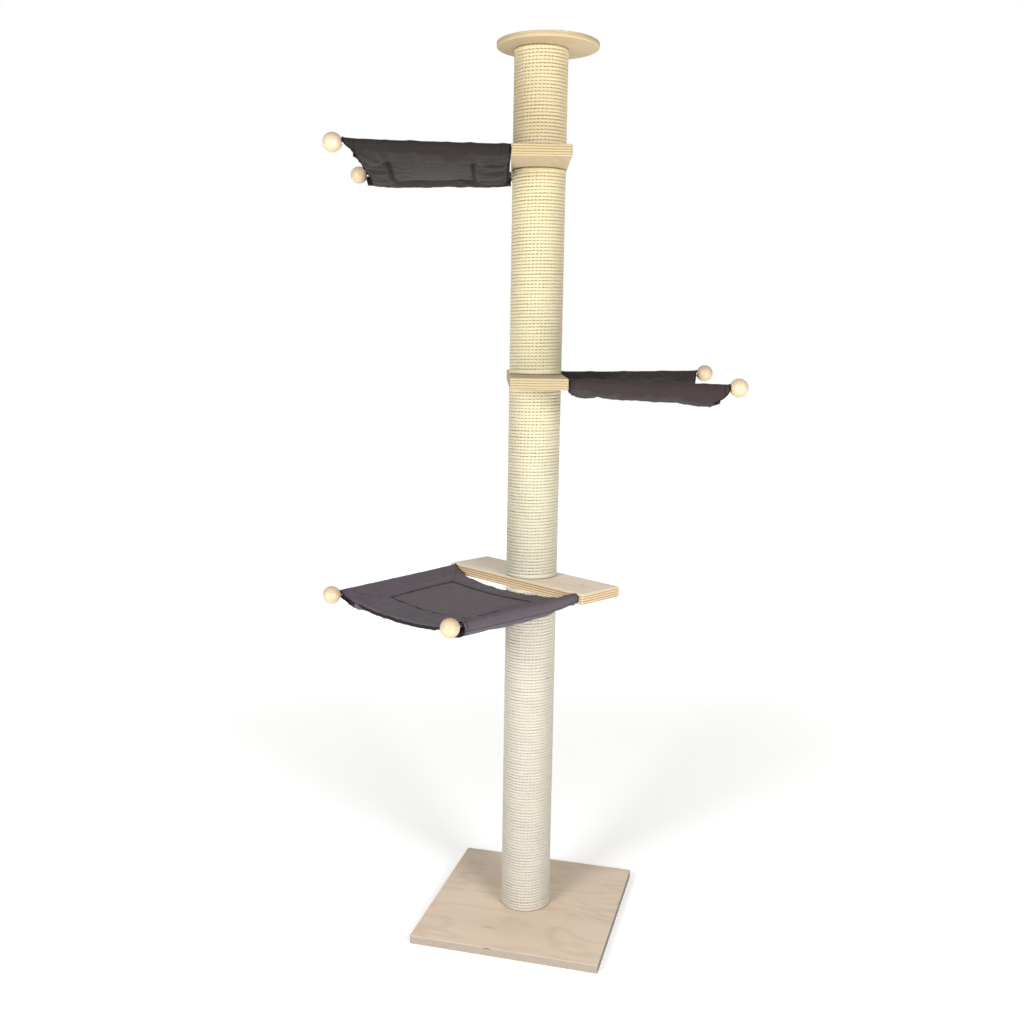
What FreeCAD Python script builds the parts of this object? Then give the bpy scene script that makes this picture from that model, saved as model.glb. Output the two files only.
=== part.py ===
import FreeCAD, Part
import math
import os

from FreeCAD import Placement, Rotation, Vector

# A tall cat tree: a square plywood base, one sisal-wound post in four sections, and a plywood
# board clamped between each pair of sections. Each board carries a canvas hammock on two steel
# rods with wooden balls on their free ends. A round plywood plate closes the top.
# Millimetres, +Z up. The origin is on the floor, under the post's axis.

# Base plate
base_size = Vector(445, 465, 21)
base_shift = Vector(4, -3, 0)  # the post stands slightly off the plate's middle

# Post sections, from the floor up
section_lengths = (803, 444, 449, 229)
post_radius = 60.0  # over the sisal
core_radius = 52.0
core_bore = 45.0
plug_thickness = 30.0

# Boards that carry the hammocks
board_size = Vector(438, 124, 24)
board_turns = (-31.0, 106.0, -75.0)  # degrees about the post's axis
swivel_gap = 0.3  # above and below each board, so that it can turn
corner_round = 3.0
arris_round = 2.5

# Studs that join the sections through the boards
stud_radius = 5.0
stud_length = 96.0
running_clearance = 0.05
insert_radius = 7.5
insert_length = 26.0

# Rods and balls
rod_radius = 4.0
rod_spacing = 397.0
rod_socket = 30.0  # how deep a rod sits in its board
fixed_clearance = 0.1  # around a rod in its board and in its ball
ball_radius = 20.0
ball_reach = 426.5  # from the post's axis to a ball's centre
ball_bore_depth = 28.0
rod_overrun = 6.0  # how far a rod runs past its ball's centre
# For each board's left and right rod: its socket's height above the board's middle, and how far
# its ball lies along the board and above its middle from where a straight, level rod would put
# it. The sockets are drilled by hand, so the rods don't lie quite parallel.
rod_aims = (
    ((0.0, -4.0, -9.0), (0.0, 0.0, -1.0)),
    ((0.0, 5.0, -3.0), (0.0, 0.0, 11.0)),
    ((0.0, -2.0, -4.0), (5.0, 10.0, 9.0)),
)

# Hammocks: a border of folded canvas that hangs between the rods, with a thinner panel in it
border_start = 64.0  # distances out from the post's axis, along the rods
border_end = 406.0
border_sags = ((12.0, 28.0), (34.0, 50.0), (30.0, 42.0))  # near the board, at the outer edge
border_thickness = 10.0
inner_hollows = (24.0, 26.0, 14.0)  # how far each border's free edges curve in at the middle
outer_hollows = (12.0, 24.0, 36.0)
sleeve_top = 8.0  # the sleeves' canvas above and below a rod's centre, and beside it
sleeve_drop = 22.0
sleeve_bulge = Vector(9, 0, -6)
sleeve_foot = 4.0
sleeve_share = 0.66  # where a sleeve ends, between the hammock's middle and the rod
sleeve_clearance = 0.3
panel_thickness = 4.0
panel_spans = ((-132.0, 132.0), (-132.0, 132.0), (-110.0, 148.0))  # along each board
panel_reaches = ((132.0, 315.0), (140.0, 322.0), (143.0, 323.0))  # out from the post's axis

# Top plate
top_radius = 112.0
top_thickness = 12.0
top_shift = Vector(17, -9, 0)  # the plate is fixed off the post's axis
rim_round = 3.0

# Wood screws
screw_circle = 32.0
screw_radius = 3.0
screw_head_radius = 6.0
screw_head_depth = 3.6
screw_sink = 0.6
base_screw_length = 60.0
top_screw_length = 40.0
screw_recess = 2.5
screw_tip = 6.0

board_depth = board_size.y / 2
SIDES = {"left": -1, "right": 1}  # as seen facing the post from a hammock's outer edge


def save(shape, name):
    """Write one sub-part."""
    shape.exportStep("parts/" + name + ".step")


def cylinder(radius, start, end):
    """A cylinder between two points on its axis."""
    return Part.makeCylinder(radius, (end - start).Length, start, end - start)


def tube(outer, inner, start, end):
    """A cylinder with a bore from end to end."""
    return cylinder(outer, start, end).cut(cylinder(inner, start, end))


def rounded_plate(size, corner, arris):
    """A plate centred on the Z axis, standing on Z = 0, with round corners and eased edges."""
    plate = Part.makeBox(size.x, size.y, size.z, Vector(-size.x / 2, -size.y / 2, 0))
    upright = [e for e in plate.Edges if abs(e.tangentAt(e.FirstParameter).z) > 0.9]
    plate = plate.makeFillet(corner, upright)
    flat = [e for e in plate.Edges if abs(e.BoundBox.ZLength) < 1e-6]
    return plate.makeFillet(arris, flat)


def wood_screw(length, tip, direction):
    """A countersunk screw with a hexagon recess. tip is its point, direction runs to its head."""
    taper = Part.makeCone(0.3, screw_radius, screw_tip)
    shank = Part.makeCylinder(screw_radius, length - screw_tip - screw_head_depth, Vector(0, 0, screw_tip))
    head = Part.makeCone(screw_radius, screw_head_radius, screw_head_depth,
                         Vector(0, 0, length - screw_head_depth))
    corners = [Vector(screw_recess * math.cos(math.radians(60 * i)),
                      screw_recess * math.sin(math.radians(60 * i)), length) for i in range(7)]
    recess = Part.Face(Part.makePolygon(corners)).extrude(Vector(0, 0, -screw_recess))
    screw = taper.fuse([shank, head]).removeSplitter().cut(recess)
    screw.Placement = Placement(tip, Rotation(Vector(0, 0, 1), direction))
    return screw


def screw_hole(length, tip, direction):
    """The room that a screw takes, up to and past the face that it is sunk into."""
    taper = Part.makeCone(0.3, screw_radius, screw_tip)
    shank = Part.makeCylinder(screw_radius, length - screw_tip - screw_head_depth, Vector(0, 0, screw_tip))
    head = Part.makeCone(screw_radius, screw_head_radius, screw_head_depth,
                         Vector(0, 0, length - screw_head_depth))
    mouth = Part.makeCylinder(screw_head_radius, screw_sink + 1, Vector(0, 0, length))
    hole = taper.fuse([shank, head, mouth]).removeSplitter()
    hole.Placement = Placement(tip, Rotation(Vector(0, 0, 1), direction))
    return hole


def screw_places(count, height):
    """Points evenly spaced round the post's axis."""
    turns = [math.radians(45 + 360 * i / count) for i in range(count)]
    return [Vector(screw_circle * math.cos(t), screw_circle * math.sin(t), height) for t in turns]


# Heights of the sections and boards
section_spans = []
board_heights = []  # each board's middle
level = base_size.z
for length in section_lengths:
    section_spans.append((level, level + length))
    level += length + swivel_gap
    board_heights.append(level + board_size.z / 2)
    level += board_size.z + swivel_gap
board_heights.pop()
post_top = section_spans[-1][1]


def base_plate():
    plate = rounded_plate(base_size, corner_round, arris_round)
    plate.translate(base_shift)
    for place in screw_places(4, screw_sink + base_screw_length):
        plate = plate.cut(screw_hole(base_screw_length, place, Vector(0, 0, -1)))
    return plate


def base_screws():
    places = screw_places(4, screw_sink + base_screw_length)
    return Part.makeCompound([wood_screw(base_screw_length, p, Vector(0, 0, -1)) for p in places])


def top_plate():
    disc = Part.makeCylinder(top_radius, top_thickness, Vector(0, 0, post_top) + top_shift)
    disc = disc.makeFillet(rim_round, [e for e in disc.Edges if abs(e.BoundBox.ZLength) < 1e-6])
    for place in screw_places(3, post_top + top_thickness - screw_sink - top_screw_length):
        disc = disc.cut(screw_hole(top_screw_length, place, Vector(0, 0, 1)))
    return disc


def top_screws():
    places = screw_places(3, post_top + top_thickness - screw_sink - top_screw_length)
    return Part.makeCompound([wood_screw(top_screw_length, p, Vector(0, 0, 1)) for p in places])


def core(low, high):
    """The paper tube that the rope is wound on."""
    return tube(core_radius, core_bore, Vector(0, 0, low), Vector(0, 0, high))


def winding(low, high):
    """The sisal rope's close single layer, as one sleeve."""
    return tube(post_radius, core_radius, Vector(0, 0, low), Vector(0, 0, high))


def plug(low, drilled_for):
    """A wooden disc that closes one end of a section: bored for an insert, or for wood screws."""
    body = cylinder(core_bore, Vector(0, 0, low), Vector(0, 0, low + plug_thickness))
    if drilled_for == "insert":
        return body.cut(cylinder(insert_radius, Vector(0, 0, low), Vector(0, 0, low + plug_thickness)))
    if drilled_for == "base":
        count, length, tip_height, direction = 4, base_screw_length, screw_sink + base_screw_length, -1
    else:
        tip_height = post_top + top_thickness - screw_sink - top_screw_length
        count, length, direction = 3, top_screw_length, 1
    for place in screw_places(count, tip_height):
        body = body.cut(screw_hole(length, place, Vector(0, 0, direction)))
    return body


def stud(middle):
    """The threaded rod that a board turns on, with chamfered ends."""
    half = stud_length / 2
    body = cylinder(stud_radius, Vector(0, 0, middle - half), Vector(0, 0, middle + half))
    return body.makeChamfer(1.0, [e for e in body.Edges if abs(e.BoundBox.ZLength) < 1e-6])


def inserts():
    """Two threaded inserts at each board, flush with the sections' end faces."""
    nuts = []
    bore = stud_radius + running_clearance
    for (_, top), (bottom, _) in zip(section_spans[:-1], section_spans[1:]):
        nuts.append(tube(insert_radius, bore, Vector(0, 0, top - insert_length), Vector(0, 0, top)))
        nuts.append(tube(insert_radius, bore, Vector(0, 0, bottom), Vector(0, 0, bottom + insert_length)))
    return Part.makeCompound(nuts)


# What follows is drawn with the board along X and its hammock towards -Y, with the board's
# middle at the origin. perch() then turns it and lifts it to its place.


def perch(shape, number):
    shape = shape.copy()
    turn = Rotation(Vector(0, 0, 1), board_turns[number])
    shape.Placement = Placement(Vector(0, 0, board_heights[number]), turn).multiply(shape.Placement)
    return shape


def on_rod(number, side, out):
    """A rod's centre at a distance out from the post's axis."""
    socket_height, along, ball_height = rod_aims[number][(side + 1) // 2]
    share = (out - board_depth) / (ball_reach - board_depth)
    height = socket_height + (ball_height - socket_height) * share
    return Vector(side * rod_spacing / 2 + along * share, -out, height)


def board(number):
    plate = rounded_plate(board_size, corner_round, arris_round)
    plate.translate(Vector(0, 0, -board_size.z / 2))
    bore = stud_radius + running_clearance
    plate = plate.cut(cylinder(bore, Vector(0, 0, -board_size.z), Vector(0, 0, board_size.z)))
    for side in SIDES.values():
        socket = cylinder(rod_radius + fixed_clearance,
                          on_rod(number, side, board_depth - rod_socket),
                          on_rod(number, side, board_depth + 5))
        plate = plate.cut(socket)
    return plate


def rod(number, side):
    body = cylinder(rod_radius, on_rod(number, side, board_depth - rod_socket),
                    on_rod(number, side, ball_reach + rod_overrun))
    ends = [e for e in body.Edges if e.Curve.TypeId == "Part::GeomCircle"]
    return body.makeChamfer(0.6, ends)


def ball(number, side):
    centre = on_rod(number, side, ball_reach)
    hole = cylinder(rod_radius + fixed_clearance, on_rod(number, side, ball_reach - ball_radius - 2),
                    on_rod(number, side, ball_reach - ball_radius + ball_bore_depth))
    return Part.makeSphere(ball_radius, centre).cut(hole)


def hanging(number, out, sag, share, lift):
    """A point on a hammock: share runs from -1 at the left rod to 1 at the right one."""
    left = on_rod(number, -1, out)
    right = on_rod(number, 1, out)
    drop = sag * (1 - share * share)
    return left * ((1 - share) / 2) + right * ((1 + share) / 2) + Vector(0, 0, lift - drop)


def hanging_arc(number, out, sag, share, lift):
    """An arc of cloth from one side of a hammock to the other, between plus and minus share."""
    points = [hanging(number, out, sag, s, lift) for s in (-share, 0, share)]
    return Part.Arc(*points).toShape()


def sleeve_outside(number, out, side):
    """The outside of a sleeve, from the top of its rod down to the fold's foot."""
    centre = on_rod(number, side, out)
    bulge = Vector(side * sleeve_bulge.x, 0, sleeve_bulge.z)
    top = centre + Vector(0, 0, sleeve_top)
    foot = centre + Vector(side * sleeve_foot, 0, -sleeve_drop)
    return Part.Arc(top, centre + bulge, foot).toShape(), top, foot


def border_outline(number, out, sag):
    """A cut through a hammock's border, across its two sleeves."""
    half = border_thickness / 2
    middle = hanging(number, out, sag, 0, half)
    left_side, left_top, left_foot = sleeve_outside(number, out, -1)
    right_side, right_top, right_foot = sleeve_outside(number, out, 1)
    upper = Part.Arc(left_top, middle, right_top).toShape()
    lower = hanging_arc(number, out, sag, sleeve_share, -half)
    lower_left = hanging(number, out, sag, -sleeve_share, -half)
    lower_right = hanging(number, out, sag, sleeve_share, -half)
    under = [Part.makeLine(right_foot, lower_right), Part.makeLine(lower_left, left_foot)]
    return Part.Wire([upper, right_side, under[0], lower, under[1], left_side])


def panel_outline(number, out, sag):
    """A cut through a layer as thick as the panel, from rod to rod."""
    half = panel_thickness / 2
    upper = hanging_arc(number, out, sag, 1, half)
    lower = hanging_arc(number, out, sag, 1, -half)
    ends = [Part.makeLine(hanging(number, out, sag, s, half), hanging(number, out, sag, s, -half))
            for s in (1, -1)]
    return Part.Wire([upper, ends[0], lower, ends[1]])


def between_stations(outline, number):
    """The solid between an outline near the board and one at the outer edge."""
    stations = zip((border_start, border_end), border_sags[number])
    return Part.makeLoft([outline(number, out, sag) for out, sag in stations], True, True)


def free_edge(out, hollow, direction):
    """What a free edge's curve cuts away, on the side of it that direction gives."""
    radius = ((rod_spacing / 2) ** 2 + hollow ** 2) / (2 * hollow)
    centre = Vector(0, -(out + direction * (radius - hollow)), -200)
    return Part.makeCylinder(radius, 400, centre)


def window(number):
    """The room that a panel takes, from far below to far above it."""
    low, high = panel_spans[number]
    near, far = panel_reaches[number]
    return Part.makeBox(high - low, far - near, 400, Vector(low, -far, -200))


def hammock_border(number):
    cloth = between_stations(border_outline, number)
    cloth = cloth.cut(free_edge(border_start, inner_hollows[number], -1))
    cloth = cloth.cut(free_edge(border_end, outer_hollows[number], 1))
    for side in SIDES.values():
        cloth = cloth.cut(cylinder(rod_radius + sleeve_clearance, on_rod(number, side, border_start - 10),
                                   on_rod(number, side, border_end + 10)))
    return cloth.cut(window(number))


def hammock_panel(number):
    return between_stations(panel_outline, number).common(window(number))


def main():
    os.makedirs("parts", exist_ok=True)
    save(base_plate(), "base_plate")
    save(base_screws(), "base_screws")
    save(top_plate(), "top_plate")
    save(top_screws(), "top_screws")
    save(inserts(), "threaded_inserts")
    for index, (low, high) in enumerate(section_spans):
        name = "post_%d_" % (index + 1)
        last = index == len(section_spans) - 1
        save(core(low, high), name + "core_tube")
        save(winding(low, high), name + "sisal_winding")
        save(plug(low, "insert" if index else "base"), name + "lower_plug")
        save(plug(high - plug_thickness, "top" if last else "insert"), name + "upper_plug")
    for number, middle in enumerate(board_heights):
        name = "perch_%d_" % (number + 1)
        save(stud(middle), name + "stud")
        save(perch(board(number), number), name + "board")
        save(perch(hammock_border(number), number), name + "hammock_border")
        save(perch(hammock_panel(number), number), name + "hammock_panel")
        for side_name, side in SIDES.items():
            save(perch(rod(number, side), number), name + side_name + "_rod")
            save(perch(ball(number, side), number), name + side_name + "_ball")


main()
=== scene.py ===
import math

import bmesh
import bpy
import numpy as np
from mathutils import Matrix, Vector


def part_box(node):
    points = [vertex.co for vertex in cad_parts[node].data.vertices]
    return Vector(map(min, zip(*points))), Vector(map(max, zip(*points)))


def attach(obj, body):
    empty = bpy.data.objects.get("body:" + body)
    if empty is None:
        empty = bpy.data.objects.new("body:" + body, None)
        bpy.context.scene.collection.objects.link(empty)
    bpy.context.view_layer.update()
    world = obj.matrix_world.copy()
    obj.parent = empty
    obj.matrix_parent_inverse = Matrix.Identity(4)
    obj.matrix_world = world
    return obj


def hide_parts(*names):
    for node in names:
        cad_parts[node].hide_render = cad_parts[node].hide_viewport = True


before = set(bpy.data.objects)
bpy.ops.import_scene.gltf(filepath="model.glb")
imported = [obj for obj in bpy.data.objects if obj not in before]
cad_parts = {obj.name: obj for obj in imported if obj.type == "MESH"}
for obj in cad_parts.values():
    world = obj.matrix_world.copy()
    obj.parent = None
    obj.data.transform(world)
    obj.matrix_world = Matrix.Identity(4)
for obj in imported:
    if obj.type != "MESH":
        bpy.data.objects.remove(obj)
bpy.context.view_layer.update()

# A cat tree: a rope-wound post on a plywood base, three boards that turn on it, and a canvas
# hammock on two rods at each board. Sizes are in millimetres unless a name says otherwise.

MM = 0.001
PERCHES = (1, 2, 3)
SECTIONS = (1, 2, 3, 4)


# ---------------------------------------------------------------- camera, light, floor

CAMERA_PLACE = (0.60883, -2.50409, 1.42857)  # metres, as are the softboxes' sizes
CAMERA_YAW, CAMERA_PITCH, CAMERA_ROLL = 14.7361, 9.5402, 0.9219  # degrees
CAMERA_SENSOR, CAMERA_LENS = 36.0, 39.321
SOFTBOX_SIZE = (1.2, 1.4)
SOFTBOX_DISTANCE = 3.4
SOFTBOX_HEIGHT = 1.75
SOFTBOX_TARGET = (0, 0, 1.0)
LAMP_COLOUR = (1.0, 0.99, 0.97)
FILL_STRENGTH = 0.16


def make_camera():
    data = bpy.data.cameras.new("camera")
    data.sensor_width = CAMERA_SENSOR
    data.lens = CAMERA_LENS
    camera = bpy.data.objects.new("camera", data)
    yaw = Matrix.Rotation(math.radians(CAMERA_YAW), 4, "Z")
    pitch = Matrix.Rotation(math.pi / 2 - math.radians(CAMERA_PITCH), 4, "X")
    roll = Matrix.Rotation(math.radians(CAMERA_ROLL), 4, "Z")
    camera.matrix_world = Matrix.Translation(CAMERA_PLACE) @ yaw @ pitch @ roll
    bpy.context.scene.collection.objects.link(camera)
    bpy.context.scene.camera = camera


def make_sun(name, azimuth, elevation, softness, strength):
    """Soft studio light from a direction: azimuth 0 is from the front, 90 from the right."""
    data = bpy.data.lights.new(name, "SUN")
    data.energy = strength * math.pi
    data.angle = math.radians(softness)
    data.color = LAMP_COLOUR
    light = bpy.data.objects.new(name, data)
    a, e = math.radians(azimuth), math.radians(elevation)
    towards = Vector((math.sin(a) * math.cos(e), -math.cos(a) * math.cos(e), math.sin(e)))
    light.rotation_euler = towards.to_track_quat("Z", "Y").to_euler()
    light.location = towards * 3
    bpy.context.scene.collection.objects.link(light)


def make_softbox(name, azimuth, strength):
    """A large soft lamp that faces the post. A strength of 1 lights a white surface fully."""
    data = bpy.data.lights.new(name, "AREA")
    data.shape = "RECTANGLE"
    data.size, data.size_y = SOFTBOX_SIZE
    data.energy = strength * math.pi ** 2 * SOFTBOX_DISTANCE ** 2
    data.color = LAMP_COLOUR
    light = bpy.data.objects.new(name, data)
    a = math.radians(azimuth)
    light.location = (SOFTBOX_DISTANCE * math.sin(a), -SOFTBOX_DISTANCE * math.cos(a), SOFTBOX_HEIGHT)
    towards = Vector(light.location) - Vector(SOFTBOX_TARGET)
    light.rotation_euler = towards.to_track_quat("Z", "Y").to_euler()
    bpy.context.scene.collection.objects.link(light)


def make_studio():
    scene = bpy.context.scene
    scene.view_settings.view_transform = "Standard"
    scene.view_settings.look = "None"
    world = bpy.data.worlds.new("studio")
    scene.world = world
    world.use_nodes = True
    tree = world.node_tree
    tree.nodes.clear()
    path = tree.nodes.new("ShaderNodeLightPath")
    seen = tree.nodes.new("ShaderNodeBackground")
    seen.inputs["Color"].default_value = (1, 1, 1, 1)
    seen.inputs["Strength"].default_value = 1.0
    fill = tree.nodes.new("ShaderNodeBackground")
    fill.inputs["Color"].default_value = (1, 1, 1, 1)
    fill.inputs["Strength"].default_value = FILL_STRENGTH
    mix = tree.nodes.new("ShaderNodeMixShader")
    out = tree.nodes.new("ShaderNodeOutputWorld")
    tree.links.new(path.outputs["Is Camera Ray"], mix.inputs[0])
    tree.links.new(fill.outputs[0], mix.inputs[1])
    tree.links.new(seen.outputs[0], mix.inputs[2])
    tree.links.new(mix.outputs[0], out.inputs["Surface"])
    make_softbox("key_left", -20, 0.90)
    make_softbox("key_right", 46, 0.86)
    make_sun("back_left", -140, 34, 60, 0.16)
    make_sun("back_right", 168, 34, 60, 0.12)


# ---------------------------------------------------------------- shader helpers

def new_material(name):
    material = bpy.data.materials.new(name)
    material.use_nodes = True
    material.node_tree.nodes.clear()
    return material, material.node_tree


def node(tree, kind, inputs=None, **settings):
    made = tree.nodes.new("ShaderNode" + kind)
    for key, value in settings.items():
        setattr(made, key, value)
    for key, value in (inputs or {}).items():
        if isinstance(value, bpy.types.NodeSocket):
            tree.links.new(value, made.inputs[key])
        else:
            made.inputs[key].default_value = value
    return made


def calc(tree, operation, a, b=0.0, c=0.0, clamp=False):
    """A Math node's value."""
    return node(tree, "Math", {0: a, 1: b, 2: c}, operation=operation, use_clamp=clamp).outputs[0]


def mix(tree, share, a, b, blend="MIX"):
    """A blend of two colours, each a socket or three numbers."""
    a, b = (c if isinstance(c, bpy.types.NodeSocket) else (*c, 1) for c in (a, b))
    made = node(tree, "Mix", {0: share, 6: a, 7: b}, data_type="RGBA", blend_type=blend)
    return made.outputs[2]


def remap(tree, value, low, high, to_low=0.0, to_high=1.0, smooth=True):
    """A value carried from one range to another, held at its ends."""
    kind = "SMOOTHSTEP" if smooth else "LINEAR"
    return node(tree, "MapRange", {0: value, 1: low, 2: high, 3: to_low, 4: to_high},
                interpolation_type=kind).outputs[0]


def ramp(tree, value, stops):
    """A colour ramp: stops are (position, colour)."""
    made = node(tree, "ValToRGB", {0: value})
    elements = made.color_ramp.elements
    while len(elements) < len(stops):
        elements.new(0.5)
    for element, (position, colour) in zip(elements, stops):
        element.position = position
        element.color = (*colour, 1)
    return made.outputs[0]


def noise_at(tree, where, scale, detail=3.0, roughness=0.5, distortion=0.0):
    return node(tree, "TexNoise", {"Vector": where, "Scale": scale, "Detail": detail,
                                   "Roughness": roughness, "Distortion": distortion}).outputs[0]


def uv_noise(tree, uv, scale_u, scale_v, detail=3.0, roughness=0.6):
    """Noise on a flat layout, with its own scale along each of the layout's directions."""
    where = node(tree, "Mapping", {"Vector": uv, "Scale": (scale_u, scale_v, 1.0)}).outputs[0]
    return noise_at(tree, where, 1.0, detail, roughness)


def place(tree, scale=(1, 1, 1), turn=0.0, shift=(0, 0, 0)):
    """Object coordinates in metres, turned about Z by minus turn degrees, then scaled."""
    where = node(tree, "TexCoord").outputs["Object"]
    turned = node(tree, "VectorRotate", {"Vector": where, "Angle": -math.radians(turn)},
                  rotation_type="Z_AXIS").outputs[0]
    return node(tree, "Mapping", {"Vector": turned, "Scale": scale, "Location": shift}).outputs[0]


def bump(tree, height, strength, distance):
    """distance is the height, in metres, that 1 stands for."""
    return node(tree, "Bump", {"Height": height, "Strength": strength, "Distance": distance}).outputs[0]


def near(tree, centre, spread, ragged):
    """How much of a mark covers this place: its centre and half sizes are in metres."""
    away = node(tree, "VectorMath", {0: node(tree, "TexCoord").outputs["Object"], 1: centre},
                operation="SUBTRACT").outputs[0]
    away = node(tree, "VectorMath", {0: away, 1: spread}, operation="DIVIDE").outputs[0]
    away = node(tree, "VectorMath", {0: away}, operation="LENGTH").outputs["Value"]
    away = calc(tree, "MULTIPLY_ADD", ragged, 0.6, away)
    return remap(tree, away, 0.8, 1.6, 0.85, 0.0)


def surface(tree, colour, roughness, normal=None, **sockets):
    inputs = {"Base Color": colour, "Roughness": roughness}
    if normal is not None:
        inputs["Normal"] = normal
    for key, value in sockets.items():
        inputs[key.replace("_", " ")] = value
    shader = node(tree, "BsdfPrincipled", inputs)
    node(tree, "OutputMaterial", {"Surface": shader.outputs[0]})


# ---------------------------------------------------------------- materials

def plywood(name, low, high, plies, turn, face, face_dark, layers, grain, seed, flecks=(), side=None):
    """Birch plywood lying flat: a grained veneer on its faces, and its layers on its edges.
    low and high are its faces' heights in metres, layers its light and dark edge colours, and
    side, if given, a darker colour for the edge that faces right: painted shade for that edge."""
    material, tree = new_material(name)
    along = place(tree, (3.0, 34.0, 34.0), turn, (seed, seed * 0.7, 0))
    figure_at = place(tree, (1.8, 5.5, 5.5), turn, (seed, seed * 1.3, 0))
    warp = noise_at(tree, figure_at, 1.0, 3.0, 0.55, 0.3)
    rings = calc(tree, "PINGPONG", calc(tree, "MULTIPLY", warp, 8.0), 0.5)
    lines = remap(tree, rings, 0.0, 0.22, 1.0, 0.0)
    blotch = noise_at(tree, place(tree, (3.0, 9.0, 9.0), turn, (seed, 3, 0)), 1.0, 3.0, 0.6)
    fibre = noise_at(tree, along, 6.0, 5.0, 0.65)
    pores = noise_at(tree, place(tree, (30.0, 420.0, 420.0), turn), 1.0, 2.0, 0.6)
    shade = calc(tree, "MULTIPLY_ADD", lines, 0.30 * grain, calc(tree, "MULTIPLY", fibre, 0.3))
    shade = calc(tree, "MULTIPLY_ADD", remap(tree, blotch, 0.35, 0.75), 0.34 * grain, shade)
    veneer = mix(tree, calc(tree, "MINIMUM", shade, 1.0), face, face_dark)
    veneer = mix(tree, calc(tree, "MULTIPLY", remap(tree, pores, 0.58, 0.75), 0.22), veneer,
                 tuple(c * 0.72 for c in face_dark))
    height = node(tree, "SeparateXYZ", {0: node(tree, "TexCoord").outputs["Object"]}).outputs[2]
    wave = calc(tree, "MULTIPLY_ADD", noise_at(tree, place(tree, (22, 22, 0)), 1.0, 2.0), 0.0006, height)
    level = remap(tree, wave, low + 0.0003, high + 0.0003, 0.0, plies, smooth=False)
    part = calc(tree, "PINGPONG", level, 1.0)
    dark = remap(tree, part, 0.5, 0.74)
    edge_fibre = noise_at(tree, place(tree, (160, 160, 900)), 1.0, 3.0, 0.6)
    edge = mix(tree, dark, layers[0], layers[1])
    edge = mix(tree, calc(tree, "MULTIPLY", remap(tree, edge_fibre, 0.4, 0.8), 0.35), edge,
               tuple(c * 0.62 for c in layers[1]))
    normal = node(tree, "NewGeometry").outputs["Normal"]
    facing = node(tree, "SeparateXYZ", {0: normal})
    lean = calc(tree, "ABSOLUTE", facing.outputs[2])
    # painted shade: the edge that faces right takes the side colour, as if it lay in shadow
    if side:
        edge = mix(tree, remap(tree, facing.outputs[0], 0.5, 0.9), edge, side)
    on_face = remap(tree, lean, 0.62, 0.8)
    colour = mix(tree, on_face, edge, veneer)
    rounding = calc(tree, "MULTIPLY", remap(tree, lean, 0.08, 0.3), calc(tree, "SUBTRACT", 1.0, on_face))
    colour = mix(tree, calc(tree, "MULTIPLY", rounding, 0.8), colour, tuple(c * 1.12 for c in layers[0]))
    for centre, spread, tint in flecks:
        colour = mix(tree, near(tree, centre, spread, fibre), colour, tint)
    relief = calc(tree, "MULTIPLY_ADD", calc(tree, "SUBTRACT", 1.0, on_face),
                  calc(tree, "MULTIPLY", dark, -0.6), calc(tree, "MULTIPLY", fibre, 0.25))
    rough = remap(tree, fibre, 0.2, 0.8, 0.46, 0.62)
    surface(tree, colour, rough, bump(tree, relief, 0.5, 0.0004), Specular_IOR_Level=0.35)
    return material


def sisal(name, stops, low, high, flecks):
    """Laid sisal rope. stops run up the post, from low to high in metres: the rope's colour turns yellower
    towards the top, which is painted warm light. The darker valleys between strands and flanks between turns
    are painted shade.
    """
    material, tree = new_material(name)
    uv = node(tree, "UVMap", uv_map="rope").outputs[0]
    height = node(tree, "SeparateXYZ", {0: node(tree, "TexCoord").outputs["Object"]}).outputs[2]
    share = remap(tree, height, low, high, smooth=False)
    # painted warm light: the colour turns yellower and darker towards the top of the post
    base = ramp(tree, share, stops)
    fibres = uv_noise(tree, uv, 60.0, 36.0, 4.0, 0.65)
    slow = uv_noise(tree, uv, 3.2, 3.0)
    patches = noise_at(tree, place(tree, (9, 9, 22)), 1.0, 3.0, 0.6)
    speckle = noise_at(tree, place(tree, (330, 330, 330)), 1.0, 3.0, 0.7)
    valley_shade = node(tree, "Attribute", attribute_name="valley_shade").outputs["Fac"]
    side = node(tree, "Attribute", attribute_name="side").outputs["Fac"]
    colour = mix(tree, remap(tree, fibres, 0.35, 0.75, 0.0, 0.20), base, (0.36, 0.29, 0.18))
    colour = mix(tree, remap(tree, slow, 0.4, 0.8, 0.0, 0.12), colour, (0.38, 0.31, 0.20))
    colour = mix(tree, remap(tree, patches, 0.45, 0.7, 0.0, 0.16), colour, (0.62, 0.60, 0.54))
    colour = mix(tree, remap(tree, speckle, 0.45, 0.72, 0.0, 0.32), colour, (0.38, 0.31, 0.19))
    # painted shade: darker in the valleys between strands and on the flanks that lie between turns
    colour = mix(tree, calc(tree, "MULTIPLY", valley_shade, 0.60), colour, (0.37, 0.295, 0.165))
    colour = mix(tree, calc(tree, "MULTIPLY", side, 0.06), colour, (0.26, 0.20, 0.11))
    for centre, spread, tint in flecks:
        colour = mix(tree, near(tree, centre, spread, fibres), colour, tint)
    relief = bump(tree, calc(tree, "ADD", fibres, speckle), 0.6, 0.0006)
    surface(tree, colour, 0.82, relief, Specular_IOR_Level=0.25, Sheen_Weight=0.15, Sheen_Roughness=0.6)
    return material


WARP_PITCH, WEFT_PITCH = 0.0011, 0.0013  # metres
HEM_STITCH = 11.0  # from a free edge to the stitching of its hem


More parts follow.
